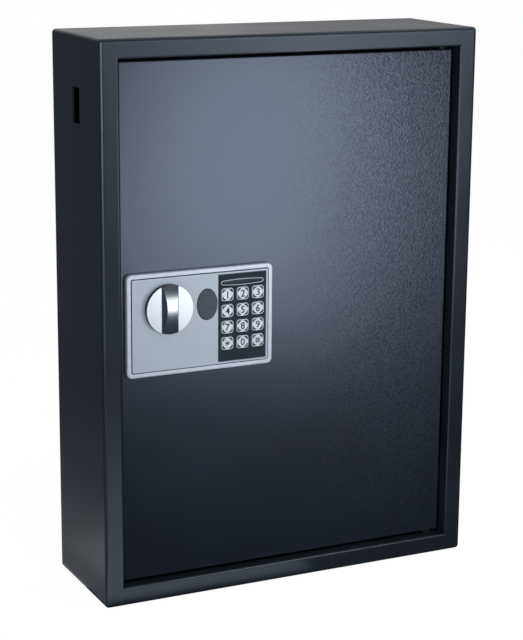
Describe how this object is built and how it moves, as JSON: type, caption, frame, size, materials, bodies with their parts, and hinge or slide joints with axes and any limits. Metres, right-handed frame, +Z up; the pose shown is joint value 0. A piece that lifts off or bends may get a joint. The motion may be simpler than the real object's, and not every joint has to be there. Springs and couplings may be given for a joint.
{
  "type": "key cabinet",
  "caption": "Wall key cabinet of folded sheet steel with a recessed hinged door, a keypad lock panel with a turn knob and override lock, and a key-return slot in its side.",
  "frame": {"origin": "centre of the four wall holes, on the back face of the back panel", "axes": "+X to the right seen from the front, +Y from the front to the wall, +Z up"},
  "size_m": [0.365, 0.1213, 0.5],
  "materials": {
    "cabinet_paint": "fine-texture powder coat, satin",
    "door_paint": "fine-texture powder coat, satin",
    "zinc_steel": "bright zinc plate",
    "black_steel": "black oxide",
    "silver_rim": "silver paint on moulded plastic",
    "silver_face": "satin silver plate",
    "black_plate": "satin black",
    "silver_key": "silver paint on moulded plastic",
    "dark_lens": "smoked window",
    "lamp_resin": "clear resin",
    "silicone": "translucent silicone",
    "circuit_board": "solder-masked board",
    "chrome_knob": "bright chrome plate on die-cast metal",
    "grey_cover": "satin dark grey",
    "lock_brass": "turned brass",
    "coil_steel": "zinc-plated frame",
    "case_plastic": "black moulded plastic",
    "cell_sleeve": "plain printed sleeve",
    "red_button": "red moulded plastic"
  },
  "bodies": {
    "cabinet": {"cabinet_shell": "cabinet_paint", "back_panel": "cabinet_paint", "strike_plate": "zinc_steel", "upper_hinge_bracket": "zinc_steel", "lower_hinge_bracket": "zinc_steel", "key_rail_1": "zinc_steel", "key_rail_2": "zinc_steel", "key_rail_3": "zinc_steel", "key_rail_4": "zinc_steel", "key_rail_5": "zinc_steel", "key_rail_6": "zinc_steel", "key_rail_7": "zinc_steel", "rail_rivets": "zinc_steel"},
    "door": {"door_panel": "door_paint", "upper_hinge_pin": "black_steel", "lower_hinge_pin": "black_steel", "hinge_washers": "black_steel", "lock_bezel": "silver_rim", "face_plate": "silver_face", "keypad_plate": "black_plate", "indicator_lens": "dark_lens", "indicator_leds": "lamp_resin", "keypad_membrane": "silicone", "keypad_board": "circuit_board", "bezel_screws": "zinc_steel", "guide_posts": "zinc_steel", "override_cylinder": "lock_brass", "cylinder_nut": "zinc_steel", "lock_base_plate": "zinc_steel", "solenoid": "coil_steel", "battery_box": "case_plastic", "batteries": "cell_sleeve", "lock_cover": "case_plastic", "cover_screws": "zinc_steel"},
    "knob": {"turn_knob": "chrome_knob", "knob_spindle": "zinc_steel", "crank": "zinc_steel"},
    "bolts": {"bolt_carriage": "zinc_steel", "locking_bolts": "zinc_steel"},
    "cover": {"override_cover": "grey_cover"},
    "plug": {"override_plug": "lock_brass"},
    "plunger": {"solenoid_plunger": "zinc_steel"},
    "hatch": {"battery_cover": "case_plastic"},
    "reset": {"reset_button": "red_button"},
    "key_1_body": {"key_1": "silver_key"},
    "key_2_body": {"key_2": "silver_key"},
    "key_3_body": {"key_3": "silver_key"},
    "key_4_body": {"key_4": "silver_key"},
    "key_5_body": {"key_5": "silver_key"},
    "key_6_body": {"key_6": "silver_key"},
    "key_7_body": {"key_7": "silver_key"},
    "key_8_body": {"key_8": "silver_key"},
    "key_9_body": {"key_9": "silver_key"},
    "key_star_body": {"key_star": "silver_key"},
    "key_0_body": {"key_0": "silver_key"},
    "key_hash_body": {"key_hash": "silver_key"}
  },
  "joints": [
    {"name": "door_hinge", "type": "hinge", "parent": "cabinet", "child": "door", "pos_m": [0.15344, -0.0985, 0], "axis": [0, 0, 1], "range_deg": [0, 100]},
    {"name": "knob_turn", "type": "hinge", "parent": "door", "child": "knob", "pos_m": [-0.12045, -0.1055, 0.0165], "axis": [0, 1, 0], "range_deg": [-90, 0]},
    {"name": "bolt_throw", "type": "slide", "parent": "door", "child": "bolts", "axis": [1, 0, 0], "range_m": [-0.01275, 0]},
    {"name": "cover_pull", "type": "slide", "parent": "door", "child": "cover", "axis": [0, -1, 0], "range_m": [0, 0.03]},
    {"name": "plug_turn", "type": "hinge", "parent": "door", "child": "plug", "pos_m": [-0.0831, -0.1005, 0.0165], "axis": [0, 1, 0], "range_deg": [0, 90]},
    {"name": "plunger_lift", "type": "slide", "parent": "door", "child": "plunger", "axis": [0, 0, 1], "range_m": [0, 0.004], "stiffness_N_per_m": 120, "springref_m": -0.008},
    {"name": "hatch_pull", "type": "slide", "parent": "door", "child": "hatch", "axis": [0, 1, 0], "range_m": [0, 0.02]},
    {"name": "reset_press", "type": "slide", "parent": "door", "child": "reset", "axis": [0, -1, 0], "range_m": [0, 0.0015], "stiffness_N_per_m": 500},
    {"name": "key_1_press", "type": "slide", "parent": "door", "child": "key_1_body", "axis": [0, 1, 0], "range_m": [0, 0.001], "stiffness_N_per_m": 900},
    {"name": "key_2_press", "type": "slide", "parent": "door", "child": "key_2_body", "axis": [0, 1, 0], "range_m": [0, 0.001], "stiffness_N_per_m": 900},
    {"name": "key_3_press", "type": "slide", "parent": "door", "child": "key_3_body", "axis": [0, 1, 0], "range_m": [0, 0.001], "stiffness_N_per_m": 900},
    {"name": "key_4_press", "type": "slide", "parent": "door", "child": "key_4_body", "axis": [0, 1, 0], "range_m": [0, 0.001], "stiffness_N_per_m": 900},
    {"name": "key_5_press", "type": "slide", "parent": "door", "child": "key_5_body", "axis": [0, 1, 0], "range_m": [0, 0.001], "stiffness_N_per_m": 900},
    {"name": "key_6_press", "type": "slide", "parent": "door", "child": "key_6_body", "axis": [0, 1, 0], "range_m": [0, 0.001], "stiffness_N_per_m": 900},
    {"name": "key_7_press", "type": "slide", "parent": "door", "child": "key_7_body", "axis": [0, 1, 0], "range_m": [0, 0.001], "stiffness_N_per_m": 900},
    {"name": "key_8_press", "type": "slide", "parent": "door", "child": "key_8_body", "axis": [0, 1, 0], "range_m": [0, 0.001], "stiffness_N_per_m": 900},
    {"name": "key_9_press", "type": "slide", "parent": "door", "child": "key_9_body", "axis": [0, 1, 0], "range_m": [0, 0.001], "stiffness_N_per_m": 900},
    {"name": "key_star_press", "type": "slide", "parent": "door", "child": "key_star_body", "axis": [0, 1, 0], "range_m": [0, 0.001], "stiffness_N_per_m": 900},
    {"name": "key_0_press", "type": "slide", "parent": "door", "child": "key_0_body", "axis": [0, 1, 0], "range_m": [0, 0.001], "stiffness_N_per_m": 900},
    {"name": "key_hash_press", "type": "slide", "parent": "door", "child": "key_hash_body", "axis": [0, 1, 0], "range_m": [0, 0.001], "stiffness_N_per_m": 900}
  ],
  "couplings": [
    {"joint": "bolt_throw", "follows": "knob_turn", "m_per_rad": 0.0081028}
  ]
}
